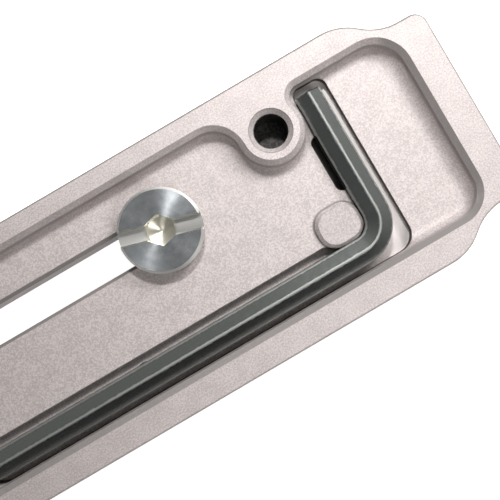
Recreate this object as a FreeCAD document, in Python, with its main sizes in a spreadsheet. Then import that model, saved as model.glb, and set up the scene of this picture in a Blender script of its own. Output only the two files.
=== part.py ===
import FreeCAD, Part
import math
import os
import Sketcher

# A dovetail camera plate, milled from a bar, with a captive camera screw and a hex key lying in its recess.
# The rim of the recess is the clamp face: it lies at z = 0 and looks up, and the camera's side looks down.
# X runs along the plate and Y across it, towards the slot. Lengths are millimetres, angles degrees.
sizes = {
    # The bar and its dovetail section, from the clamp face down
    "plate_length": 98.0,
    "plate_width": 38.0,
    "lip_height": 1.6,
    "flank_run": 3.0,
    "flank_height": 3.0,
    "neck_height": 1.2,
    "slab_height": 3.2,
    # The narrowed ends, with an S-shaped shoulder on each side
    "shoulder_drop": 4.1,
    "shoulder_inset": 14.4,
    "shoulder_run": 10.8,
    "end_corner_radius": 2.0,
    "outer_edge_chamfer": 0.3,
    # The recess in the clamp face, with the thickness of the walls round it
    "recess_depth": 3.0,
    "recess_end_wall": 5.55,
    "recess_slot_wall": 3.6,
    "recess_ear_wall": 4.45,
    "recess_key_wall": 4.85,
    "recess_slot_corner": 5.0,
    "recess_key_corner": 4.2,
    "recess_rim_chamfer": 0.8,
    "recess_floor_fillet": 1.7,
    # The ear that carries the threaded hole, placed from the recess's end and side
    "ear_inset": 21.75,
    "ear_reach": 3.9,
    "ear_radius": 5.0,
    "ear_long_fillet": 4.4,
    "ear_short_fillet": 1.8,
    "ear_hole_diameter": 5.1,
    "ear_hole_depth": 6.0,
    "ear_hole_countersink": 6.45,
    # The slot for the camera screw, with the round hole where the screw goes in
    "slot_y": 6.6,
    "slot_width": 5.2,
    "slot_edge_chamfer": 0.5,
    "slot_entry_clearance": 0.45,
    "screw_x": 0.75,
    "screw_side_play": 0.2,
    "screw_travel": 34.0,
    # The camera screw
    "head_diameter": 12.6,
    "head_height": 2.2,
    "head_chamfer": 0.4,
    "coin_slot_width": 2.0,
    "coin_slot_depth": 1.1,
    "coin_slot_edge": 0.2,
    "coin_slot_angle": -16.4,
    "socket_clearance": 0.1,
    "socket_depth": 1.8,
    "socket_cone_depth": 0.7,
    "neck_clearance": 0.25,
    "neck_float": 0.8,
    "screw_thread_diameter": 6.35,
    "screw_thread_length": 4.7,
    "screw_tip_chamfer": 0.7,
    # The washer under the head
    "washer_diameter": 11.0,
    "washer_thickness": 0.5,
    "washer_bore_clearance": 0.2,
    "sliding_gap": 0.03,
    # The hex key, whose arms reach as far as the recess has room for them
    "key_flats": 4.0,
    "key_edge_radius": 0.3,
    "key_bend_radius": 4.5,
    "key_end_chamfer": 0.2,
    "key_corner_inset": 14.3,
    "key_side_clearance": 1.05,
    "key_tip_clearance": 1.65,
    "key_far_clearance": 4.6,
    "key_seat_gap": 0.04,
    # The key's groove in the floor of the recess
    "groove_depth": 1.8,
    "groove_inner_relief": 1.35,
    "groove_outer_relief": 1.45,
    "groove_tip_relief": 1.55,
    "groove_corner_radius": 2.8,
    "groove_boss_fillet": 1.5,
    "finger_recess_reach": 1.05,
    "finger_recess_length": 9.0,
    "finger_recess_along": 13.6,
    "finger_recess_step": 0.4,
    # The boss that the key's bend goes round
    "boss_clearance": 0.05,
    "boss_straight_length": 1.8,
    "boss_straight_width": 0.8,
    "boss_rise": 1.0,
    "boss_chamfer": 0.5,
    # The magnets that hold the key down
    "magnet_diameter": 4.0,
    "magnet_thickness": 1.5,
    "magnet_clearance": 0.05,
    "long_magnet_x": -12.0,
    "short_magnet_inset": 3.4,
}
countersink_angle = 90.0
drill_point_angle = 118.0
cut_margin = 5.0
tolerance = 1e-6

doc = FreeCAD.newDocument("camera_side_plate")
sheet = doc.addObject("Spreadsheet::Sheet", "Sizes")
for row, (name, number) in enumerate(sizes.items(), start=1):
    sheet.set(f"A{row}", name)
    sheet.set(f"B{row}", str(number))
    sheet.setAlias(f"B{row}", name)
doc.recompute()


# A length that knows both its number and the formula that gives it from the sheet
class Size:
    def __init__(self, number, text):
        self.number = number
        self.text = text

    def join(self, sign, other, number):
        return Size(number, f"({self.text} {sign} {other.text})")

    def __add__(self, other):
        other = as_size(other)
        return self.join("+", other, self.number + other.number)

    def __sub__(self, other):
        other = as_size(other)
        return self.join("-", other, self.number - other.number)

    def __mul__(self, other):
        other = as_size(other)
        return self.join("*", other, self.number * other.number)

    def __truediv__(self, other):
        other = as_size(other)
        return self.join("/", other, self.number / other.number)

    def __neg__(self):
        return Size(-self.number, f"(0 - {self.text})")


def as_size(value):
    if isinstance(value, Size):
        return value
    return Size(float(value), f"({value:.12f})")


def size(name):
    return Size(sizes[name], f"Sizes.{name}")


# The other short side of a right-angled triangle
def triangle_side(longest, side):
    squares = longest * longest - side * side
    return Size(math.sqrt(squares.number), f"sqrt({squares.text})")


def new_body(label):
    body = doc.addObject("PartDesign::Body", "Body_" + label)
    body.Label = label
    return body


def origin_plane(body, role):
    return next(item for item in body.Origin.OriginFeatures if item.Role == role)


# A sketch on one of the body's own planes, moved along that plane's normal
def new_sketch(body, role, name, height=None):
    sketch = body.newObject("Sketcher::SketchObject", name)
    sketch.AttachmentSupport = (origin_plane(body, role), [""])
    sketch.MapMode = "FlatFace"
    if height is not None:
        sketch.setExpression("AttachmentOffset.Base.z", height.text)
    return sketch


def fix_point(sketch, edge, position, x, y):
    for kind, value in (("DistanceX", x), ("DistanceY", y)):
        fix_distance(sketch, kind, edge, position, value)


def fix_distance(sketch, kind, edge, position, value):
    constraint = Sketcher.Constraint(kind, -1, 1, edge, position, value.number)
    index = sketch.addConstraint(constraint)
    sketch.setExpression(f"Constraints[{index}]", value.text)


# A path through corners. Each corner is (x, y, bend): bend is None where a straight edge leaves it, or
# (centre x, centre y, turn) where an arc does, with turn +1 for anticlockwise and -1 for clockwise.
def draw_path(sketch, corners, closed=True):
    first_edge = sketch.GeometryCount
    edge_count = len(corners) if closed else len(corners) - 1
    ends = []
    for step in range(edge_count):
        x, y, bend = corners[step]
        next_x, next_y, _ = corners[(step + 1) % len(corners)]
        here = FreeCAD.Vector(x.number, y.number, 0)
        there = FreeCAD.Vector(next_x.number, next_y.number, 0)
        if bend is None:
            sketch.addGeometry(Part.LineSegment(here, there), False)
            ends.append((1, 2))
        else:
            sketch.addGeometry(arc_between(here, there, bend), False)
            ends.append((1, 2) if bend[2] > 0 else (2, 1))
    for step in range(edge_count):
        edge = first_edge + step
        x, y, bend = corners[step]
        next_x, next_y, _ = corners[(step + 1) % len(corners)]
        if closed or step + 1 < edge_count:
            follower = (step + 1) % edge_count
            joint = (edge, ends[step][1], first_edge + follower, ends[follower][0])
            sketch.addConstraint(Sketcher.Constraint("Coincident", *joint))
        else:
            fix_point(sketch, edge, ends[step][1], next_x, next_y)
        fix_point(sketch, edge, ends[step][0], x, y)
        if bend is not None:
            steep = abs(next_y.number - y.number) >= abs(next_x.number - x.number)
            kind, value = ("DistanceX", bend[0]) if steep else ("DistanceY", bend[1])
            fix_distance(sketch, kind, edge, 3, value)


def arc_between(here, there, bend):
    centre = FreeCAD.Vector(bend[0].number, bend[1].number, 0)
    circle = Part.Circle(centre, FreeCAD.Vector(0, 0, 1), (here - centre).Length)
    start = math.atan2(here.y - centre.y, here.x - centre.x)
    stop = math.atan2(there.y - centre.y, there.x - centre.x)
    if bend[2] < 0:
        start, stop = stop, start
    if stop <= start:
        stop += 2 * math.pi
    return Part.ArcOfCircle(circle, start, stop)


def draw_circle(sketch, x, y, diameter):
    centre = FreeCAD.Vector(x.number, y.number, 0)
    edge = sketch.addGeometry(Part.Circle(centre, FreeCAD.Vector(0, 0, 1), diameter.number / 2), False)
    index = sketch.addConstraint(Sketcher.Constraint("Diameter", edge, diameter.number))
    sketch.setExpression(f"Constraints[{index}]", diameter.text)
    fix_point(sketch, edge, 3, x, y)


# A slot's outline with round ends, along X or along Y
def draw_round_slot(sketch, start, stop, across, width, along_y=False):
    half = width / 2
    corners = [
        (start, across + half, None),
        (stop, across + half, (stop, across, -1)),
        (stop, across - half, None),
        (start, across - half, (start, across, -1)),
    ]
    if along_y:
        corners = [(y, x, bend and (bend[1], bend[0], 1)) for x, y, bend in corners]
    draw_path(sketch, corners)


def add_pad(body, name, sketch, length):
    pad = body.newObject("PartDesign::Pad", name)
    pad.Profile = sketch
    pad.setExpression("Length", length.text)
    doc.recompute()
    return pad


# A cut downwards from its sketch, right through where no depth is given
def add_cut(body, name, sketch, depth=None):
    volume_before = body.Shape.Volume
    cut = body.newObject("PartDesign::Pocket", name)
    cut.Profile = sketch
    if depth is None:
        cut.Type = "ThroughAll"
    else:
        cut.setExpression("Length", depth.text)
    doc.recompute()
    if not body.Shape.Volume < volume_before:
        raise RuntimeError(name + " removes nothing")
    return cut


# A chamfer or a fillet along some edges of the body's last feature
def dress_edges(body, kind, name, edges, measure, width):
    base = body.Tip
    names = []
    for index, edge in enumerate(base.Shape.Edges, start=1):
        if any(edge.isSame(wanted) for wanted in edges):
            names.append(f"Edge{index}")
    dressing = body.newObject(kind, name)
    dressing.Base = (base, names)
    dressing.setExpression(measure, width.text)
    doc.recompute()


def add_chamfer(body, name, edges, width):
    dress_edges(body, "PartDesign::Chamfer", name, edges, "Size", width)


def add_fillet(body, name, edges, radius):
    dress_edges(body, "PartDesign::Fillet", name, edges, "Radius", radius)


# The largest level face of the body's last feature at a given height
def level_face(body, height):
    faces = []
    for face in body.Tip.Shape.Faces:
        box = face.BoundBox
        if box.ZLength < tolerance and abs(box.ZMax - height.number) < tolerance:
            faces.append(face)
    return max(faces, key=lambda face: face.Area)


def place(body, x, y, z):
    for letter, value in (("x", x), ("y", y), ("z", z)):
        body.setExpression(f"Placement.Base.{letter}", value.text)


# Lines and levels that several pieces share
end_x = size("plate_length") / 2
side_y = size("plate_width") / 2
thickness = size("lip_height") + size("flank_height") + size("neck_height") + size("slab_height")
recess_floor = -size("recess_depth")
groove_floor = recess_floor - size("groove_depth")
recess_right = end_x - size("recess_end_wall")
recess_left = -recess_right
slot_side = side_y - size("recess_slot_wall")
ear_side = side_y - size("recess_ear_wall")
key_side = size("recess_key_wall") - side_y
ear_x = recess_right - size("ear_inset")
ear_y = ear_side - size("ear_reach")
key_half = size("key_flats") / 2
key_x = recess_right - size("key_corner_inset")
key_y = key_side + size("key_side_clearance") + key_half
key_tip = ear_side - size("key_tip_clearance")
key_far_end = recess_left + size("key_far_clearance")
key_inner_x = key_x - key_half
key_inner_y = key_y + key_half
boss_right = key_inner_x - size("boss_clearance")
boss_bottom = key_inner_y + size("boss_clearance")
boss_corner = size("key_bend_radius") - key_half + size("boss_clearance") * 2
boss_left = boss_right - size("boss_straight_length") - boss_corner * 2
boss_top = boss_bottom + size("boss_straight_width") + boss_corner * 2
slot_left = size("screw_x") - size("screw_travel")
screw_y = size("slot_y") - size("screw_side_play")
neck_diameter = size("slot_width") - size("neck_clearance") * 2
magnet_bore = size("magnet_diameter") + size("magnet_clearance") * 2
magnet_bore_depth = size("magnet_thickness") + size("magnet_clearance")
short_magnet_y = key_tip - size("short_magnet_inset")


# The dovetail bar, as wide at the lip as its clamp takes
def draw_bar_section(sketch):
    neck = side_y - size("flank_run")
    level = as_size(0)
    right_side = [(side_y, level)]
    level = level - size("lip_height")
    right_side.append((side_y, level))
    level = level - size("flank_height")
    right_side.append((neck, level))
    level = level - size("neck_height")
    right_side.append((neck, level))
    right_side.append((side_y, level))
    right_side.append((side_y, -thickness))
    left_side = [(-y, z) for y, z in reversed(right_side)]
    draw_path(sketch, [(y, z, None) for y, z in right_side + left_side])


# What is milled off beside an end: an S of two equal arcs, a straight flank and a rounded corner
def draw_end_cut(sketch, side):
    drop = size("shoulder_drop")
    end_half = side_y - drop
    run = size("shoulder_run")
    radius = (run * run + drop * drop) / (drop * 4)
    corner = size("end_corner_radius")
    start_x = end_x - size("shoulder_inset")
    stop_x = start_x + run
    outer_x = end_x + cut_margin
    outer_y = side_y + cut_margin
    corners = [
        (start_x, side_y, (start_x, side_y - radius, -1)),
        (start_x + run / 2, side_y - drop / 2, (stop_x, end_half + radius, 1)),
        (stop_x, end_half, None),
        (end_x - corner, end_half, (end_x - corner, end_half - corner, -1)),
        (end_x, end_half - corner, None),
        (outer_x, end_half - corner, None),
        (outer_x, outer_y, None),
        (start_x, outer_y, None),
    ]
    if side < 0:
        corners = [(x, -y, bend and (bend[0], -bend[1], -bend[2])) for x, y, bend in corners]
    draw_path(sketch, corners)


# The recess, whose slot side turns round the ear
def draw_recess(sketch):
    right = recess_right
    left = recess_left
    slot_corner = size("recess_slot_corner")
    key_corner = size("recess_key_corner")
    ear_radius = size("ear_radius")
    long_fillet = size("ear_long_fillet")
    short_fillet = size("ear_short_fillet")
    long_y = slot_side - long_fillet
    long_x = ear_x - triangle_side(ear_radius + long_fillet, ear_y - long_y)
    short_y = ear_side - short_fillet
    short_x = ear_x + triangle_side(ear_radius + short_fillet, ear_y - short_y)
    long_share = ear_radius / (ear_radius + long_fillet)
    short_share = ear_radius / (ear_radius + short_fillet)
    long_meet = (ear_x + (long_x - ear_x) * long_share, ear_y + (long_y - ear_y) * long_share)
    short_meet = (ear_x + (short_x - ear_x) * short_share, ear_y + (short_y - ear_y) * short_share)
    draw_path(sketch, [
        (left + slot_corner, slot_side, None),
        (long_x, slot_side, (long_x, long_y, -1)),
        (*long_meet, (ear_x, ear_y, 1)),
        (*short_meet, (short_x, short_y, -1)),
        (short_x, ear_side, None),
        (right - slot_corner, ear_side, (right - slot_corner, ear_side - slot_corner, -1)),
        (right, ear_side - slot_corner, None),
        (right, key_side + key_corner, (right - key_corner, key_side + key_corner, -1)),
        (right - key_corner, key_side, None),
        (left + key_corner, key_side, (left + key_corner, key_side + key_corner, -1)),
        (left, key_side + key_corner, None),
        (left, slot_side - slot_corner, (left + slot_corner, slot_side - slot_corner, -1)),
    ])


# The L of the key's groove, whose inner corner leaves the boss standing
def draw_groove(sketch):
    inner_y = key_inner_y + size("groove_inner_relief")
    outer_x = key_x + key_half + size("groove_outer_relief")
    tip_y = key_tip + size("groove_tip_relief")
    far_x = key_far_end - size("groove_tip_relief")
    long_half = (inner_y - key_side) / 2
    corner = size("groove_corner_radius")
    tip_corner = size("groove_tip_relief")
    fillet = size("groove_boss_fillet")
    boss_x = boss_left + boss_corner
    boss_y = boss_bottom + boss_corner
    fillet_y = inner_y - fillet
    fillet_x = boss_x - triangle_side(boss_corner + fillet, boss_y - fillet_y)
    share = boss_corner / (boss_corner + fillet)
    meet = (boss_x + (fillet_x - boss_x) * share, boss_y + (fillet_y - boss_y) * share)
    draw_path(sketch, [
        (far_x + long_half, inner_y, None),
        (fillet_x, inner_y, (fillet_x, fillet_y, -1)),
        (*meet, (boss_x, boss_y, 1)),
        (boss_x, boss_bottom, None),
        (boss_right - boss_corner, boss_bottom, (boss_right - boss_corner, boss_y, 1)),
        (boss_right, boss_y, None),
        (boss_right, tip_y - tip_corner, (boss_right + tip_corner, tip_y - tip_corner, -1)),
        (boss_right + tip_corner, tip_y, None),
        (outer_x - tip_corner, tip_y, (outer_x - tip_corner, tip_y - tip_corner, -1)),
        (outer_x, tip_y - tip_corner, None),
        (outer_x, key_side + corner, (outer_x - corner, key_side + corner, -1)),
        (outer_x - corner, key_side, None),
        (far_x + long_half, key_side, (far_x + long_half, key_side + long_half, -1)),
    ])


def draw_boss(sketch):
    corner = boss_corner
    draw_path(sketch, [
        (boss_left + corner, boss_top, None),
        (boss_right - corner, boss_top, (boss_right - corner, boss_top - corner, -1)),
        (boss_right, boss_top - corner, None),
        (boss_right, boss_bottom + corner, (boss_right - corner, boss_bottom + corner, -1)),
        (boss_right - corner, boss_bottom, None),
        (boss_left + corner, boss_bottom, (boss_left + corner, boss_bottom + corner, -1)),
        (boss_left, boss_bottom + corner, None),
        (boss_left, boss_top - corner, (boss_left + corner, boss_top - corner, -1)),
    ])


def add_ear_hole(body):
    sketch = new_sketch(body, "XY_Plane", "ear_hole_place")
    draw_circle(sketch, ear_x, ear_y, size("ear_hole_diameter"))
    doc.recompute()
    volume_before = body.Shape.Volume
    hole = body.newObject("PartDesign::Hole", "ear_hole")
    hole.Profile = sketch
    hole.DepthType = "Dimension"
    hole.DrillPoint = "Angled"
    hole.DrillPointAngle = drill_point_angle
    hole.HoleCutType = "Countersink"
    hole.HoleCutCustomValues = True
    hole.HoleCutCountersinkAngle = countersink_angle
    hole.setExpression("Diameter", size("ear_hole_diameter").text)
    hole.setExpression("Depth", size("ear_hole_depth").text)
    hole.setExpression("HoleCutDiameter", size("ear_hole_countersink").text)
    doc.recompute()
    if not body.Shape.Volume < volume_before:
        raise RuntimeError("the ear's hole removes nothing")


def make_plate():
    body = new_body("plate")
    section = new_sketch(body, "YZ_Plane", "bar_section", -end_x)
    draw_bar_section(section)
    add_pad(body, "bar", section, size("plate_length"))

    ends = new_sketch(body, "XY_Plane", "end_outline")
    draw_end_cut(ends, 1)
    draw_end_cut(ends, -1)
    end_cut = add_cut(body, "end_cut", ends)
    both_ends = body.newObject("PartDesign::Mirrored", "both_ends")
    both_ends.Originals = [end_cut]
    both_ends.MirrorPlane = (origin_plane(body, "YZ_Plane"), [""])
    body.Tip = both_ends
    doc.recompute()

    recess = new_sketch(body, "XY_Plane", "recess_outline")
    draw_recess(recess)
    add_cut(body, "recess", recess, size("recess_depth"))
    floor = level_face(body, recess_floor)
    add_fillet(body, "recess_foot", floor.OuterWire.Edges, size("recess_floor_fillet"))
    rim = level_face(body, as_size(0))
    inner_edges = [edge for wire in rim.Wires if not wire.isSame(rim.OuterWire) for edge in wire.Edges]
    add_chamfer(body, "recess_rim", inner_edges, size("recess_rim_chamfer"))
    rim = level_face(body, as_size(0))
    back = level_face(body, -thickness)
    outer_edges = rim.OuterWire.Edges + back.OuterWire.Edges
    add_chamfer(body, "outer_edges", outer_edges, size("outer_edge_chamfer"))

    slot = new_sketch(body, "XY_Plane", "slot_outline")
    draw_round_slot(slot, slot_left, size("screw_x"), size("slot_y"), size("slot_width"))
    add_cut(body, "slot", slot)
    floor = level_face(body, recess_floor)
    slot_edges = [edge for wire in floor.Wires if not wire.isSame(floor.OuterWire) for edge in wire.Edges]
    add_chamfer(body, "slot_edge", slot_edges, size("slot_edge_chamfer"))
    entry = new_sketch(body, "XY_Plane", "entry_outline")
    entry_diameter = size("screw_thread_diameter") + size("slot_entry_clearance")
    draw_circle(entry, slot_left, size("slot_y"), entry_diameter)
    add_cut(body, "screw_entry", entry)

    boss = new_sketch(body, "XY_Plane", "boss_outline", recess_floor)
    draw_boss(boss)
    add_pad(body, "boss", boss, size("boss_rise"))
    boss_face = level_face(body, recess_floor + size("boss_rise"))
    add_chamfer(body, "boss_edge", boss_face.OuterWire.Edges, size("boss_chamfer"))

    groove = new_sketch(body, "XY_Plane", "groove_outline")
    draw_groove(groove)
    add_cut(body, "groove", groove, -groove_floor)
    finger = new_sketch(body, "XY_Plane", "finger_recess_outline")
    reach = size("finger_recess_reach")
    finger_half = size("finger_recess_length") / 2 - reach
    finger_y = key_y + size("finger_recess_along")
    draw_round_slot(finger, finger_y - finger_half, finger_y + finger_half, boss_right, reach * 2, True)
    add_cut(body, "finger_recess", finger, size("finger_recess_step") - groove_floor)

    magnets = new_sketch(body, "XY_Plane", "magnet_places", groove_floor)
    draw_circle(magnets, size("long_magnet_x"), key_y, magnet_bore)
    draw_circle(magnets, key_x, short_magnet_y, magnet_bore)
    add_cut(body, "magnet_bores", magnets, magnet_bore_depth)
    add_ear_hole(body)
    return body


# The screw turns about its own Z. Its frame lies under the head, with the coin slot along X.
def make_camera_screw():
    body = new_body("camera_screw")
    head = size("head_diameter") / 2
    neck = neck_diameter / 2
    thread = size("screw_thread_diameter") / 2
    top = size("head_height")
    head_edge = size("head_chamfer")
    tip_edge = size("screw_tip_chamfer")
    under_head = size("washer_thickness") + size("sliding_gap") * 2
    neck_end = -(under_head + thickness - size("recess_depth") + size("neck_float"))
    tip = neck_end - size("screw_thread_length")
    axis = as_size(0)
    profile = new_sketch(body, "XZ_Plane", "screw_profile")
    draw_path(profile, [
        (axis, top, None),
        (head - head_edge, top, None),
        (head, top - head_edge, None),
        (head, axis, None),
        (neck, axis, None),
        (neck, neck_end + (thread - neck), None),
        (thread, neck_end, None),
        (thread, tip + tip_edge, None),
        (thread - tip_edge, tip, None),
        (axis, tip, None),
    ])
    turned = body.newObject("PartDesign::Revolution", "turned_screw")
    turned.Profile = profile
    turned.ReferenceAxis = (profile, ["V_Axis"])
    doc.recompute()

    coin_slot = new_sketch(body, "XY_Plane", "coin_slot_outline", top)
    half_width = size("coin_slot_width") / 2
    draw_path(coin_slot, [
        (-head, half_width, None),
        (head, half_width, None),
        (head, -half_width, None),
        (-head, -half_width, None),
    ])
    add_cut(body, "coin_slot", coin_slot, size("coin_slot_depth"))
    slot_edges = []
    for edge in body.Tip.Shape.Edges:
        box = edge.BoundBox
        if box.YLength < tolerance and box.ZLength < tolerance and abs(box.ZMax - top.number) < tolerance:
            slot_edges.append(edge)
    add_chamfer(body, "coin_slot_edges", slot_edges, size("coin_slot_edge"))

    flat = (size("key_flats") + size("socket_clearance")) / 2
    point = flat * (2 / math.sqrt(3))
    socket = new_sketch(body, "XY_Plane", "socket_outline", top)
    draw_path(socket, [
        (axis, point, None),
        (flat, point / 2, None),
        (flat, -point / 2, None),
        (axis, -point, None),
        (-flat, -point / 2, None),
        (-flat, point / 2, None),
    ])
    add_cut(body, "hex_socket", socket, size("socket_depth"))

    floor = top - size("socket_depth")
    cone = new_sketch(body, "XZ_Plane", "socket_cone_profile")
    draw_path(cone, [
        (axis, floor, None),
        (flat, floor, None),
        (axis, floor - size("socket_cone_depth"), None),
    ])
    volume_before = body.Shape.Volume
    cone_cut = body.newObject("PartDesign::Groove", "socket_cone")
    cone_cut.Profile = cone
    cone_cut.ReferenceAxis = (cone, ["V_Axis"])
    doc.recompute()
    if not body.Shape.Volume < volume_before:
        raise RuntimeError("the socket's cone removes nothing")
    body.Placement.Rotation = FreeCAD.Rotation(FreeCAD.Vector(0, 0, 1), sizes["coin_slot_angle"])
    body.setExpression("Placement.Rotation.Angle", size("coin_slot_angle").text)
    place(body, size("screw_x"), screw_y, recess_floor + under_head)
    return body


def make_slide_washer():
    body = new_body("slide_washer")
    ring = new_sketch(body, "XY_Plane", "washer_outline")
    axis = as_size(0)
    draw_circle(ring, axis, axis, size("washer_diameter"))
    draw_circle(ring, axis, axis, neck_diameter + size("washer_bore_clearance") * 2)
    add_pad(body, "washer", ring, size("washer_thickness"))
    place(body, size("screw_x"), screw_y, recess_floor + size("sliding_gap"))
    return body


# A hexagon that stands on a corner, with rounded edges
def key_section(radius):
    centre_reach = (key_half - radius) * (2 / math.sqrt(3))
    corners = []
    for step in range(6):
        angle = math.radians(90 + 60 * step)
        centre_x = centre_reach * math.cos(angle)
        centre_y = centre_reach * math.sin(angle)
        before = angle - math.radians(30)
        after = angle + math.radians(30)
        bend = (centre_x, centre_y, 1)
        corners.append((centre_x + radius * math.cos(before), centre_y + radius * math.sin(before), bend))
        corners.append((centre_x + radius * math.cos(after), centre_y + radius * math.sin(after), None))
    return corners, centre_reach + radius


# The key is one bar bent once: its frame lies where the axes of the two arms cross
def make_hex_key():
    body = new_body("hex_key")
    bend = size("key_bend_radius")
    far_end = key_far_end - key_x
    tip = key_tip - key_y
    axis = as_size(0)
    corners, half_height = key_section(size("key_edge_radius"))
    section = new_sketch(body, "YZ_Plane", "key_section", far_end)
    draw_path(section, corners)
    bend_line = new_sketch(body, "XY_Plane", "key_axis")
    draw_path(bend_line, [
        (far_end, axis, None),
        (-bend, axis, (-bend, bend, 1)),
        (axis, bend, None),
        (axis, tip, None),
    ], closed=False)
    doc.recompute()
    bar = body.newObject("PartDesign::AdditivePipe", "bent_bar")
    bar.Profile = section
    bar.Spine = (bend_line, ["Edge1", "Edge2", "Edge3"])
    doc.recompute()
    end_edges = []
    for face in bar.Shape.Faces:
        box = face.BoundBox
        at_far_end = box.XLength < tolerance and abs(box.XMin - far_end.number) < tolerance
        at_tip = box.YLength < tolerance and abs(box.YMax - tip.number) < tolerance
        if at_far_end or at_tip:
            end_edges.extend(face.Edges)
    add_chamfer(body, "key_ends", end_edges, size("key_end_chamfer"))
    height = groove_floor + size("key_seat_gap") + half_height
    place(body, key_x, key_y, height)
    return body


def make_magnet(label, x, y):
    body = new_body(label)
    disc = new_sketch(body, "XY_Plane", label + "_outline")
    axis = as_size(0)
    draw_circle(disc, axis, axis, size("magnet_diameter"))
    add_pad(body, label + "_disc", disc, size("magnet_thickness"))
    place(body, x, y, groove_floor - magnet_bore_depth)
    return body


pieces = [
    make_plate(),
    make_camera_screw(),
    make_slide_washer(),
    make_hex_key(),
    make_magnet("long_arm_magnet", size("long_magnet_x"), key_y),
    make_magnet("short_arm_magnet", key_x, short_magnet_y),
]
doc.recompute()

for item in doc.Objects:
    if "Invalid" in item.State or "Error" in item.State:
        raise RuntimeError(item.Label + " did not come out")
for piece in pieces:
    if piece.Shape.isNull() or not piece.Shape.isValid() or len(piece.Shape.Solids) != 1:
        raise RuntimeError(piece.Label + " is not one sound solid")

os.makedirs("parts", exist_ok=True)
for piece in pieces:
    piece.Shape.exportStep(f"parts/{piece.Label}.step")
    print(piece.Label, round(piece.Shape.Volume, 2), piece.Shape.BoundBox)
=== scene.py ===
import math

import bmesh
import bpy
import numpy as np
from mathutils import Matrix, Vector


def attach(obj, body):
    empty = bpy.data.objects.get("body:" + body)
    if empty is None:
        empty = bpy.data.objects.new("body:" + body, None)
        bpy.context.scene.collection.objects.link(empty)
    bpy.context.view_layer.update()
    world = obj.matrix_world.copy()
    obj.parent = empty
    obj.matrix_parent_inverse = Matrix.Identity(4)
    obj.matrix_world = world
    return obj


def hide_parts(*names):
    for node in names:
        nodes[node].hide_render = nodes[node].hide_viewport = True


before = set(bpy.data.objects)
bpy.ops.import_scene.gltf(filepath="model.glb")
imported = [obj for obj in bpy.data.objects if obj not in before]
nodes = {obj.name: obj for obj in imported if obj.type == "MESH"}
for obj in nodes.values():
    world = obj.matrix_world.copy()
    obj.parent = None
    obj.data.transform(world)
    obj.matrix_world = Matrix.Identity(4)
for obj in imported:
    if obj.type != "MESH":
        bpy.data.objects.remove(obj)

scene = bpy.context.scene
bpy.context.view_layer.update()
mm = 0.001
sharpAngle = math.radians(28)  # edges sharper than this stay hard
print("frame loaded:", ", ".join(sorted(nodes)))


class Wire:  # an output socket; sums and products of wires add Math nodes
    def __init__(self, finish, socket):
        self.finish = finish
        self.socket = socket

    def __add__(self, other):
        return self.finish.maths("ADD", self, other)

    def __sub__(self, other):
        return self.finish.maths("SUBTRACT", self, other)

    def __rsub__(self, other):
        return self.finish.maths("SUBTRACT", other, self)

    def __mul__(self, other):
        return self.finish.maths("MULTIPLY", self, other)

    def __truediv__(self, other):
        return self.finish.maths("DIVIDE", self, other)

    def __rtruediv__(self, other):
        return self.finish.maths("DIVIDE", other, self)

    __radd__ = __add__
    __rmul__ = __mul__


class Finish:  # a material or a world, and the nodes that make it
    def __init__(self, block):
        self.block = block
        block.use_nodes = True
        self.tree = block.node_tree
        self.tree.nodes.clear()

    def node(self, kind, settings=None, inputs=None, output=0):
        made = self.tree.nodes.new(kind)
        for key, value in (settings or {}).items():
            setattr(made, key, value)
        for key, value in (inputs or {}).items():
            if isinstance(value, Wire):
                self.tree.links.new(value.socket, made.inputs[key])
            else:
                made.inputs[key].default_value = value
        return Wire(self, made.outputs[output]) if made.outputs else None

    def maths(self, operation, *terms):
        return self.node("ShaderNodeMath", {"operation": operation}, dict(enumerate(terms)))

    def size(self, value):
        return self.maths("ABSOLUTE", value)

    def less(self, value, limit):
        return self.maths("LESS_THAN", value, limit)

    def more(self, value, limit):
        return self.maths("GREATER_THAN", value, limit)

    def largest(self, first, *others):
        for other in others:
            first = self.maths("MAXIMUM", first, other)
        return first

    def distance(self, x, y):
        return self.maths("SQRT", x * x + y * y)

    def place(self):  # where a point lies in the shared frame, in millimetres
        metres = self.node("ShaderNodeTexCoord", output="Object")
        return self.node("ShaderNodeVectorMath", {"operation": "SCALE"}, {0: metres, "Scale": 1 / mm})

    def parts(self, vector):
        return [self.node("ShaderNodeSeparateXYZ", inputs={0: vector}, output=axis) for axis in range(3)]

    def point(self, x, y, z):
        return self.node("ShaderNodeCombineXYZ", inputs={0: x, 1: y, 2: z})

    def noise(self, place, scale, detail=2.0, rough=0.5):
        inputs = {"Vector": place, "Scale": scale, "Detail": detail, "Roughness": rough}
        return self.node("ShaderNodeTexNoise", inputs=inputs)

    def ease(self, value, low, high):  # 0 below low, 1 above high, smooth between
        return self.node("ShaderNodeMapRange", {"interpolation_type": "SMOOTHSTEP"}, {0: value, 1: low, 2: high})

    def tint(self, share, first, second):  # a colour on the way from first to second
        return self.node("ShaderNodeMix", {"data_type": "RGBA"}, {0: share, 6: first, 7: second}, 2)

    def bump(self, height, depth, strength):  # height runs from 0 to 1, depth is in millimetres
        inputs = {"Height": height, "Distance": depth * mm, "Strength": strength}
        return self.node("ShaderNodeBump", inputs=inputs)

    def surface(self, **sockets):
        values = {key.replace("_", " "): value for key, value in sockets.items()}
        shader = self.node("ShaderNodeBsdfPrincipled", inputs=values)
        self.node("ShaderNodeOutputMaterial", inputs={"Surface": shader})
        return self.block


def newFinish(name):
    return Finish(bpy.data.materials.new(name))


def wear(obj, material):
    for slot in obj.material_slots:
        slot.material = material


toothLook = dict(rootFlat=0.14, flank=0.72)  # shares of half a pitch; the rest is the crest


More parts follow.
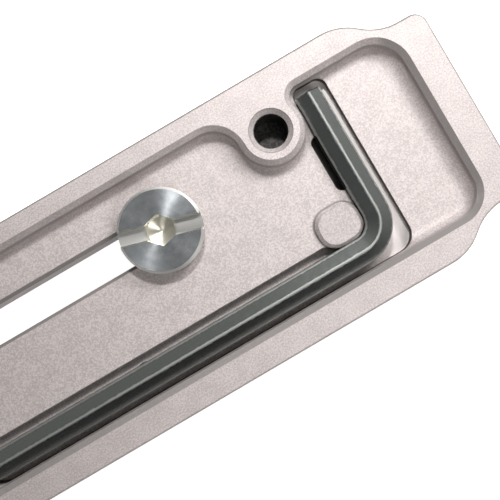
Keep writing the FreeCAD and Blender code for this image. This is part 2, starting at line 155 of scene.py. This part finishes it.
# A thread's tooth at angle a and height z, 0 in the root and 1 on the crest: a trapezoid wave of
# z / pitch - a / turn
def screwTooth(angle, height, pitch):
    wave = height / pitch - angle / (2 * math.pi)
    ramp = np.abs(2 * (wave - np.floor(wave)) - 1)
    return np.clip((ramp - toothLook["rootFlat"]) / toothLook["flank"], 0, 1)


# Points at radius r, angle a and height z round an axis, joined into rings, with a fan to each pole
def turnedMesh(name, look, radius, angle, height, poles):
    x = look["axisX"] + radius * np.cos(angle)
    y = look["axisY"] + radius * np.sin(angle)
    points = np.vstack([np.stack([x, y, height], -1).reshape(-1, 3), poles]) * mm
    rows, columns = radius.shape
    index = np.arange(rows * columns).reshape(rows, columns)
    after = np.roll(index, -1, axis=1)
    faces = np.stack([index[:-1], index[1:], after[1:], after[:-1]], -1).reshape(-1, 4).tolist()
    last = np.full(columns, len(points) - 1)
    faces += np.stack([index[-1], last, after[-1]], -1).tolist()
    if len(poles) > 1:
        first = np.full(columns, rows * columns)
        faces += np.stack([first, index[0], after[0]], -1).tolist()
    mesh = bpy.data.meshes.new(name)
    mesh.from_pydata(points.tolist(), [], faces)
    return mesh


# The plate: blasted and anodised, with a fine speckle. Painted shade darkens the chamfers, the walls, and thin
# marks at the ear, the slot and the boss; the walls of the key's groove are painted nearly black as painted shadow,
# and its floor beside the short arm gets a painted pool of light. Pairs are where a change begins and ends
plateLook = dict(
    pale=(0.73, 0.668, 0.66, 1), cool=(0.53, 0.478, 0.473, 1),  # the speckle's two tones
    # then the tones of painted shade, of near-black painted shadow and of a pale painted pool of light
    line=(0.30, 0.28, 0.275, 1), paintedShadow=(0.03, 0.028, 0.027, 1), bright=(0.95, 0.90, 0.89, 1),
    lineShare=0.8, paintedShadowShare=0.9, paintedLightShare=0.7,
    metal=0.35, rough=0.62, roughSpread=0.25,
    cloud=0.35, cloudShare=0.15, speck=4.2, speckTone=(0.41, 0.59), grain=7.0, grainDepth=0.05, grainPush=0.6,
    halfWidth=19.0, shoulder=(34.6, 45.4), shoulderDrop=4.1, edgeGap=0.45, rimX=44.6, rimY=16.3, insideY=15.7,
    earX=21.7, earY=10.65, earRadius=3.2, earShadeLine=(0.036, 0.09), earHeight=(-0.3, -0.1),
    slotLeft=-33.25, slotRight=0.75, slotY=6.6, slotShadeLine=(3.05, 3.15), slotHeight=(-3.58, -3.46),
    bossX=23.6, bossY=-6.05, bossHalfX=0.9, bossHalfY=0.4, bossCorner=2.6,
    bossShadeLine=(0.2, 0.34), bossFoot=(-5.1, -4.9), bossTop=(-2.7, -2.6),
    wallFoot=(-2.3, -1.5), wallTop=(-0.8, -0.6), wallShadeShare=0.75,
    grooveTop=(-3.25, -3.15), grooveFloor=-4.8, floorReach=(0.1, 0.25), underside=-8.95,
    longArmY=-7.5, shortArmX=25.0, paintedLightX=(26.5, 29.0),
    face=(-0.03, -0.005), rimCut=(-0.84, -0.76), rimShare=0.2, rimMore=0.65,
    edgeCut=(-0.34, -0.3), edgeShare=1.2, edgeLess=0.8,
    keySide=(-14.0, -11.0), keySideX=(0.0, 25.0), keySideMore=0.5, rightEnd=(41.0, 42.5),
)


def earShadeLine(f, look, x, y, z):  # a ring of painted shade where the ear's countersink begins
    off = f.size(f.distance(x - look["earX"], y - look["earY"]) - look["earRadius"])
    return (1 - f.ease(off, *look["earShadeLine"])) * f.ease(z, *look["earHeight"])


def slotShadeLine(f, look, x, y, z):  # painted shade on the slot's chamfer
    nearX = f.maths("MINIMUM", f.largest(x, look["slotLeft"]), look["slotRight"])
    reach = f.distance(x - nearX, y - look["slotY"])
    return (1 - f.ease(reach, *look["slotShadeLine"])) * f.ease(z, *look["slotHeight"])


def bossShadeLine(f, look, x, y, z):  # painted shade round the boss's foot, down to the groove's floor
    sideX = f.largest(f.size(x - look["bossX"]) - look["bossHalfX"], 0.0)
    sideY = f.largest(f.size(y - look["bossY"]) - look["bossHalfY"], 0.0)
    off = f.size(f.distance(sideX, sideY) - look["bossCorner"])
    height = (1 - f.ease(z, *look["bossTop"])) * f.ease(z, *look["bossFoot"])
    return (1 - f.ease(off, *look["bossShadeLine"])) * height


def withinOutline(f, look, x, y):  # 1 where a point lies well inside the plate's outline and its shoulders
    along = f.size(x)
    outline = look["halfWidth"] - f.ease(along, *look["shoulder"]) * look["shoulderDrop"]
    return f.more(outline - f.size(y), look["edgeGap"]) * f.less(along, look["rimX"])


def paintedChamferShade(f, look, x, y, z, onRim):  # painted shade on the chamfers round the recess and outside; on the key's side and at the right end the rim's chamfer gets more, and on the key's side the outer edge gets less
    below = 1 - f.ease(z, *look["face"])
    keySide = 1 - f.ease(y, *look["keySide"])
    onKeySide = keySide * (1 + f.ease(x, *look["keySideX"]) * look["keySideMore"])
    turnedAway = f.largest(onKeySide, f.ease(x, *look["rightEnd"]))
    rim = f.ease(z, *look["rimCut"]) * onRim * (look["rimShare"] + turnedAway * look["rimMore"])
    edge = f.ease(z, *look["edgeCut"]) * (1 - onRim) * (look["edgeShare"] - keySide * look["edgeLess"])
    return below * f.largest(rim, edge)


def blastedAluminium(look):
    f = newFinish("blasted_aluminium")
    place = f.place()
    x, y, z = f.parts(place)
    cloud = f.noise(place, look["cloud"], detail=3.0)
    speck = f.noise(place, look["speck"], detail=3.0, rough=0.7)
    grain = f.noise(place, look["grain"], rough=0.6)
    mottle = cloud * look["cloudShare"] + speck * (1 - look["cloudShare"])
    blasted = f.tint(f.ease(mottle, *look["speckTone"]), look["cool"], look["pale"])
    within = withinOutline(f, look, x, y)
    inside = within * f.less(f.size(y), look["insideY"])
    offFloor = f.ease(f.size(z - look["grooveFloor"]), *look["floorReach"])
    # painted shade on the surfaces below the recess's floor, down to the underside, except the groove's floor
    grooveWallShade = (1 - f.ease(z, *look["grooveTop"])) * offFloor * f.more(z, look["underside"])
    # painted shade on the recess's walls, from the foot's fillet up to the rim's chamfer
    recessWallShade = f.ease(z, *look["wallFoot"]) * (1 - f.ease(z, *look["wallTop"])) * look["wallShadeShare"]
    byKey = f.largest(f.less(y, look["longArmY"]), f.more(x, look["shortArmX"]))
    chamferShade = paintedChamferShade(f, look, x, y, z, within * f.less(f.size(y), look["rimY"]))
    wallShade = f.largest(recessWallShade, grooveWallShade) * inside
    lines = [earShadeLine(f, look, x, y, z), slotShadeLine(f, look, x, y, z), bossShadeLine(f, look, x, y, z)]
    # the share of painted shade from the walls, the chamfers, and the marks at the ear, the slot and the boss
    dark = f.largest(wallShade, chamferShade, *lines) * look["lineShare"]
    # a painted pool of light on the groove's floor beside the short arm
    paintedLightFloor = (1 - offFloor) * inside * f.ease(x, *look["paintedLightX"]) * look["paintedLightShare"]
    colour = f.tint(dark, f.tint(paintedLightFloor, blasted, look["bright"]), look["line"])
    # the groove's walls by the key are painted near black, a painted shadow
    colour = f.tint(grooveWallShade * inside * byKey * look["paintedShadowShare"], colour, look["paintedShadow"])
    rough = look["rough"] + (speck - 0.5) * look["roughSpread"]
    normal = f.bump((grain + speck) * 0.5, look["grainDepth"], look["grainPush"])
    return f.surface(Base_Color=colour, Metallic=look["metal"], Roughness=rough, Normal=normal)


wear(nodes["plate"], blastedAluminium(plateLook))
print("plate finished")

# The thread in the ear's blind hole; its near-black colour is painted shade of the deep hole
earLook = dict(
    axisX=21.7, axisY=10.65, outer=2.53, root=2.515, crest=2.42, top=-0.7, floor=-5.8, bottom=-5.95,
    pitch=1.27, columns=72, rowsPerPitch=16,
    # near-black tones: painted shade of the deep hole
    dark=(0.028, 0.026, 0.025, 1), pale=(0.09, 0.086, 0.082, 1), metal=0.5, rough=0.42, roughSpread=0.3,
    dust=2.2, dustTone=(0.42, 0.62), dustDepth=0.02, dustPush=0.5,
)


# A cup: its outside is a plain cylinder, and its inside at angle a and height z has the radius of a trapezoid
# wave of z / pitch - a / turn between root and crest
def earThread(look):
    rows = int(look["rowsPerPitch"] * (look["top"] - look["floor"]) / look["pitch"])
    angles = np.linspace(0, 2 * math.pi, look["columns"], endpoint=False)
    angle, height = np.meshgrid(angles, np.linspace(look["top"], look["floor"], rows))
    wall = look["root"] - screwTooth(angle, height, look["pitch"]) * (look["root"] - look["crest"])
    plain = np.ones(look["columns"])
    radius = np.vstack([plain * look["outer"], plain * look["outer"], wall])
    height = np.vstack([plain * look["bottom"], plain * look["top"], height])
    angle = np.vstack([angles, angles, angle])
    poles = [(look["axisX"], look["axisY"], look[end]) for end in ("bottom", "floor")]
    mesh = turnedMesh("ear_thread", look, radius, angle, height, poles)
    form = bmesh.new()
    form.from_mesh(mesh)
    bmesh.ops.recalc_face_normals(form, faces=form.faces)
    form.to_mesh(mesh)
    form.free()
    mesh.shade_smooth()
    mesh.set_sharp_from_angle(angle=sharpAngle)
    thread = bpy.data.objects.new("ear_thread", mesh)
    scene.collection.objects.link(thread)
    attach(thread, "plate")
    return thread


def shadedThread(look):
    f = newFinish("shaded_thread")
    dust = f.noise(f.place(), look["dust"], detail=3.0, rough=0.7)
    colour = f.tint(f.ease(dust, *look["dustTone"]), look["dark"], look["pale"])
    rough = look["rough"] + (dust - 0.5) * look["roughSpread"]
    normal = f.bump(dust, look["dustDepth"], look["dustPush"])
    return f.surface(Base_Color=colour, Metallic=look["metal"], Roughness=rough, Normal=normal)


earPiece = earThread(earLook)
earPiece.data.materials.append(shadedThread(earLook))
print("ear thread finished, faces:", len(earPiece.data.polygons))

# The hex key: black oxide, worn to grey along its edges
keyLook = dict(
    axisX=29.15, axisY=-11.1, axisZ=-2.497, bend=4.5, edgeReach=(2.15, 2.27),  # the corners lie 2.31 from the axis
    dark=(0.31, 0.33, 0.32, 1), worn=(0.40, 0.41, 0.40, 1), wornShare=0.8, wander=0.12,
    rough=0.22, roughSpread=0.12, edgeRough=0.45, scuff=1.6, grain=9.0, grainDepth=0.01, grainPush=0.4,
)


# Distance from the key's bent axis: from a line along each arm, and from a circle in the bend
def fromKeyAxis(f, look, x, y, z):
    right = x - look["axisX"]
    up = y - look["axisY"]
    bendX = right + look["bend"]
    bendY = up - look["bend"]
    pastBend = f.more(bendX, 0.0)
    inBend = pastBend * f.less(bendY, 0.0)
    straightGap = pastBend * right + (1 - pastBend) * up
    ringGap = f.distance(bendX, bendY) - look["bend"]
    return f.distance(inBend * ringGap + (1 - inBend) * straightGap, z - look["axisZ"])


def blackOxide(look):
    f = newFinish("black_oxide_steel")
    place = f.place()
    reach = fromKeyAxis(f, look, *f.parts(place))
    scuff = f.noise(place, look["scuff"], detail=3.0, rough=0.6)
    grain = f.noise(place, look["grain"])
    edge = f.ease(reach + (scuff - 0.5) * look["wander"], *look["edgeReach"])
    colour = f.tint(edge * look["wornShare"], look["dark"], look["worn"])
    rough = look["rough"] + (scuff - 0.5) * look["roughSpread"] + edge * look["edgeRough"]
    normal = f.bump(grain, look["grainDepth"], look["grainPush"])
    return f.surface(Base_Color=colour, Metallic=1.0, Roughness=rough, Normal=normal)


wear(nodes["hex_key"], blackOxide(keyLook))
print("key finished")

# The camera screw: the solid's turned head, and a cut thread on its end
screwLook = dict(
    axisX=0.75, axisY=6.4, underHead=-2.44, cutBelow=-3.0, neckRadius=2.35, neckEnd=-8.975, threadTop=-9.8,
    tip=-14.5, crest=3.175, root=2.56, pitch=1.27, tipChamfer=0.7, rowsPerPitch=20, fade=0.6,
    solidMerge=1e-7, seamMerge=2e-6,  # in metres
    sideReach=5.95, socketFloor=-2.05, rimReach=(5.9, 5.95),
    slotTurn=-16.4, slotReach=(1.2, 1.22), socketReach=(2.36, 2.38), socketTop=(-0.29, -0.27),
    steel=(0.46, 0.49, 0.515, 1), bright=(0.56, 0.59, 0.615, 1),
    # the socket's pale cream colour is a painted highlight
    milled=(0.66, 0.66, 0.64, 1), socketHighlight=(0.86, 0.84, 0.74, 1),
    rings=11.0, ringDepth=0.004, ringPush=0.5, cloud=0.8, cloudShare=0.6, tone=(0.35, 0.65),
    rough=0.26, roughSpread=0.08, cutRough=0.35, socketRough=0.12, brush=0.8, brushTurn=0.25,
)


# Radius of the screw's shank at angle a and height z: the tooth's wave between root and crest, fading in below
# the neck, and kept inside the tip's cone
def shankRadius(look, angle, height):
    fadeIn = np.clip((look["threadTop"] - height) / look["fade"], 0, 1)
    cut = (1 - screwTooth(angle, height, look["pitch"])) * fadeIn * (look["crest"] - look["root"])
    cone = look["crest"] - np.clip(look["tip"] + look["tipChamfer"] - height, 0, None)
    return np.minimum(look["crest"] - cut, cone)


# The shank's rings take the angles of the open rim under the head, so that the two join without a seam
def shankMesh(look, angles):
    rows = int(look["rowsPerPitch"] * (look["threadTop"] - look["tip"]) / look["pitch"])
    threadZ = np.linspace(look["threadTop"], look["tip"], rows)
    heights = np.concatenate([[look["underHead"], look["neckEnd"]], threadZ])
    angle, height = np.meshgrid(angles, heights)
    radius = shankRadius(look, angle, height)
    radius[0:2] = look["neckRadius"]
    return turnedMesh("shank", look, radius, angle, height, [(look["axisX"], look["axisY"], look["tip"])])


def threadedScrew(look):
    form = bmesh.new()
    form.from_mesh(nodes["camera_screw"].data)
    bmesh.ops.remove_doubles(form, verts=form.verts, dist=look["solidMerge"])
    low = look["cutBelow"] * mm
    oldShank = [face for face in form.faces if min(v.co.z for v in face.verts) < low]
    bmesh.ops.delete(form, geom=oldShank, context="FACES")
    rim = [v.co.copy() for v in form.verts if v.is_boundary]
    shank = shankMesh(look, np.sort([math.atan2(v.y - look["axisY"] * mm, v.x - look["axisX"] * mm) for v in rim]))
    form.from_mesh(shank)
    bpy.data.meshes.remove(shank)
    bmesh.ops.remove_doubles(form, verts=form.verts, dist=look["seamMerge"])
    bmesh.ops.recalc_face_normals(form, faces=form.faces)
    mesh = bpy.data.meshes.new("threaded_camera_screw")
    form.to_mesh(mesh)
    form.free()
    mesh.set_sharp_from_angle(angle=sharpAngle)
    centre = np.empty(len(mesh.polygons) * 3)
    mesh.polygons.foreach_get("center", centre)
    x, y, z = centre.reshape(-1, 3).T / mm
    reach = np.hypot(x - look["axisX"], y - look["axisY"])
    rounded = (reach > look["sideReach"]) | (z < look["socketFloor"])  # the flat faces stay flat
    mesh.polygons.foreach_set("use_smooth", rounded)
    screw = bpy.data.objects.new("threaded_camera_screw", mesh)
    scene.collection.objects.link(screw)
    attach(screw, "screw")
    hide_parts("camera_screw")
    return screw


# Turned face, with a milled coin slot and rim and a broached socket; the socket's pale cream colour is a painted
# highlight
def turnedSteel(look):
    f = newFinish("turned_steel")
    place = f.place()
    x, y, z = f.parts(place)
    right = x - look["axisX"]
    up = y - look["axisY"]
    radius = f.distance(right, up)
    rings = f.noise(f.point(radius, 0.0, z), look["rings"], rough=0.6)
    cloud = f.noise(place, look["cloud"], detail=3.0, rough=0.6)
    turn = math.radians(look["slotTurn"])
    aside = up * math.cos(turn) - right * math.sin(turn)
    inSlot = 1 - f.ease(f.size(aside), *look["slotReach"])
    inSocket = (1 - f.ease(radius, *look["socketReach"])) * (1 - f.ease(z, *look["socketTop"]))
    milled = f.largest(inSlot, f.ease(radius, *look["rimReach"]))
    mottle = cloud * look["cloudShare"] + rings * (1 - look["cloudShare"])
    turned = f.tint(f.ease(mottle, *look["tone"]), look["steel"], look["bright"])
    colour = f.tint(inSocket, f.tint(milled, turned, look["milled"]), look["socketHighlight"])
    rough = look["rough"] + (cloud - 0.5) * look["roughSpread"]
    rough = rough + milled * (1 - inSocket) * look["cutRough"] + inSocket * look["socketRough"]
    normal = f.bump(rings, look["ringDepth"], look["ringPush"])
    return f.surface(
        Base_Color=colour, Metallic=1.0, Roughness=rough, Normal=normal,
        Anisotropic=look["brush"], Anisotropic_Rotation=look["brushTurn"],
    )


screw = threadedScrew(screwLook)
screw.data.materials.append(turnedSteel(screwLook))
print("screw finished, faces:", len(screw.data.polygons))

# The washer and the magnets
washerLook = dict(
    dark=(0.02, 0.02, 0.021, 1), pale=(0.035, 0.035, 0.036, 1), tone=(0.35, 0.65),
    rough=0.5, roughSpread=0.2, grain=6.0, grainDepth=0.01, grainPush=0.4,
)
magnetLook = dict(
    dull=(0.5, 0.49, 0.47, 1), bright=(0.62, 0.60, 0.56, 1), tone=(0.35, 0.65),
    rough=0.24, roughSpread=0.15, cloud=2.0,
)


def blackNylon(look):
    f = newFinish("black_nylon")
    grain = f.noise(f.place(), look["grain"], detail=3.0)
    colour = f.tint(f.ease(grain, *look["tone"]), look["dark"], look["pale"])
    rough = look["rough"] + (grain - 0.5) * look["roughSpread"]
    normal = f.bump(grain, look["grainDepth"], look["grainPush"])
    return f.surface(Base_Color=colour, Roughness=rough, Normal=normal)


def nickelPlate(look):
    f = newFinish("nickel_plate")
    cloud = f.noise(f.place(), look["cloud"], detail=3.0)
    colour = f.tint(f.ease(cloud, *look["tone"]), look["dull"], look["bright"])
    rough = look["rough"] + (cloud - 0.5) * look["roughSpread"]
    return f.surface(Base_Color=colour, Metallic=1.0, Roughness=rough)


wear(nodes["slide_washer"], blackNylon(washerLook))
for magnet in ("long_arm_magnet", "short_arm_magnet"):
    wear(nodes[magnet], nickelPlate(magnetLook))
print("washer and magnets finished")

# The floor: pale, and white where it is seen or mirrored
floorLook = dict(level=-14.6, size=3000.0, colour=(0.86, 0.86, 0.86, 1), glow=0.9)
white = (1, 1, 1, 1)


# How much of a ray is seen or mirrored: 1 for camera, glossy and transmission rays
def shownRays(f):
    names = ("Is Camera Ray", "Is Glossy Ray", "Is Transmission Ray")
    seen, glossy, through = [f.node("ShaderNodeLightPath", output=name) for name in names]
    return f.maths("MINIMUM", seen + glossy + through, 1.0)


def paleFloor(look):
    half = look["size"] / 2 * mm
    level = look["level"] * mm
    corners = [(-half, -half, level), (half, -half, level), (half, half, level), (-half, half, level)]
    mesh = bpy.data.meshes.new("floor")
    mesh.from_pydata(corners, [], [(0, 1, 2, 3)])
    floor = bpy.data.objects.new("floor", mesh)
    scene.collection.objects.link(floor)
    f = newFinish("pale_floor")
    shader = f.node("ShaderNodeBsdfDiffuse", inputs={"Color": look["colour"]})
    glow = f.node("ShaderNodeEmission", inputs={"Color": white, "Strength": shownRays(f) * look["glow"]})
    both = f.node("ShaderNodeAddShader", inputs={0: shader, 1: glow})
    f.node("ShaderNodeOutputMaterial", inputs={"Surface": both})
    mesh.materials.append(f.block)


paleFloor(floorLook)

# Light from above and from the four sides of the room: along the plate (right, left) and across it (slot, key)
skyLook = dict(
    above=0.28, right=0.4, left=0.15, slotSide=0.3, keySide=0.04, soft=0.1, cove=0.3,
    aboveFrom=(0.86, 0.97), coveTop=(0.05, 0.22), warm=(1.0, 0.985, 0.97, 1),
)


def studioSky(look):
    f = Finish(bpy.data.worlds.new("studio_sky"))
    x, y, z = f.parts(f.node("ShaderNodeTexCoord", output="Generated"))
    flat = f.largest(f.distance(x, y), 0.001)  # never zero, because it divides
    across = y / flat
    along = x / flat
    toRight = f.more(x, 0.0)
    toSlot = f.more(y, 0.0)
    ends = along * along * (look["left"] + toRight * (look["right"] - look["left"]))
    sides = across * across * (look["keySide"] + toSlot * (look["slotSide"] - look["keySide"]))
    high = f.ease(z, *look["aboveFrom"])
    mirrored = f.node("ShaderNodeLightPath", output="Is Glossy Ray")
    cards = high * look["above"] + (1 - high) * (ends + sides)
    cove = (1 - f.ease(z, *look["coveTop"])) * mirrored * look["cove"]
    strength = cards * (look["soft"] + mirrored * (1 - look["soft"])) + cove  # more in metal than as light
    room = f.node("ShaderNodeBackground", inputs={"Color": look["warm"], "Strength": strength})
    backdrop = f.node("ShaderNodeBackground", inputs={"Color": white, "Strength": 1.0})
    seen = f.node("ShaderNodeLightPath", output="Is Camera Ray")
    both = f.node("ShaderNodeMixShader", inputs={0: seen, 1: room, 2: backdrop})
    f.node("ShaderNodeOutputWorld", inputs={"Surface": both})
    scene.world = f.block


studioSky(skyLook)

# The lamps: a window over the slot's side, a large lamp past the right end, a fill over the key's side, and a
# weak card for the screw's head
lampLook = dict(
    window=dict(place=(48.0, 73.0, 120.0), aim=(10.0, 0.0, 0.0), size=16.0, power=0.120, colour=(1.0, 0.99, 0.975)),
    side=dict(place=(150.0, 60.0, 120.0), aim=(10.0, 0.0, 0.0), size=60.0, power=0.209, colour=(1.0, 0.985, 0.97)),
    fill=dict(place=(50.0, -90.0, 120.0), aim=(10.0, 0.0, 0.0), size=80.0, power=0.075, colour=(1.0, 0.98, 0.96)),
    card=dict(place=(-50.0, -40.0, 90.0), aim=(0.75, 6.4, 0.0), size=30.0, power=0.003, colour=(1.0, 0.98, 0.95)),
)


def softLamp(name, look):
    data = bpy.data.lights.new(name, "AREA")
    data.shape = "DISK"
    data.size = look["size"] * mm
    data.energy = look["power"]
    data.color = look["colour"]
    lamp = bpy.data.objects.new(name, data)
    scene.collection.objects.link(lamp)
    lamp.visible_camera = False
    place = np.array(look["place"]) * mm
    lamp.location = place
    lamp.rotation_euler = Vector(np.array(look["aim"]) * mm - place).to_track_quat("-Z", "Y").to_euler()


for name, look in lampLook.items():
    softLamp(name, look)

# The camera looks straight down, and the frame's width is measured at the rim
cameraLook = dict(x=10.46, y=-2.60, height=96.0, turn=-30.4, frameWidth=71.53, sensor=36.0, near=5.0, far=10000.0)


def photoCamera(look):
    data = bpy.data.cameras.new("camera")
    data.sensor_width = look["sensor"]
    data.lens = look["sensor"] * look["height"] / look["frameWidth"]
    data.clip_start = look["near"] * mm
    data.clip_end = look["far"] * mm
    camera = bpy.data.objects.new("camera", data)
    scene.collection.objects.link(camera)
    camera.location = (look["x"] * mm, look["y"] * mm, look["height"] * mm)
    camera.rotation_euler = (0, 0, math.radians(look["turn"]))
    scene.camera = camera


photoCamera(cameraLook)
scene.view_settings.view_transform = "Standard"
print("stage set")
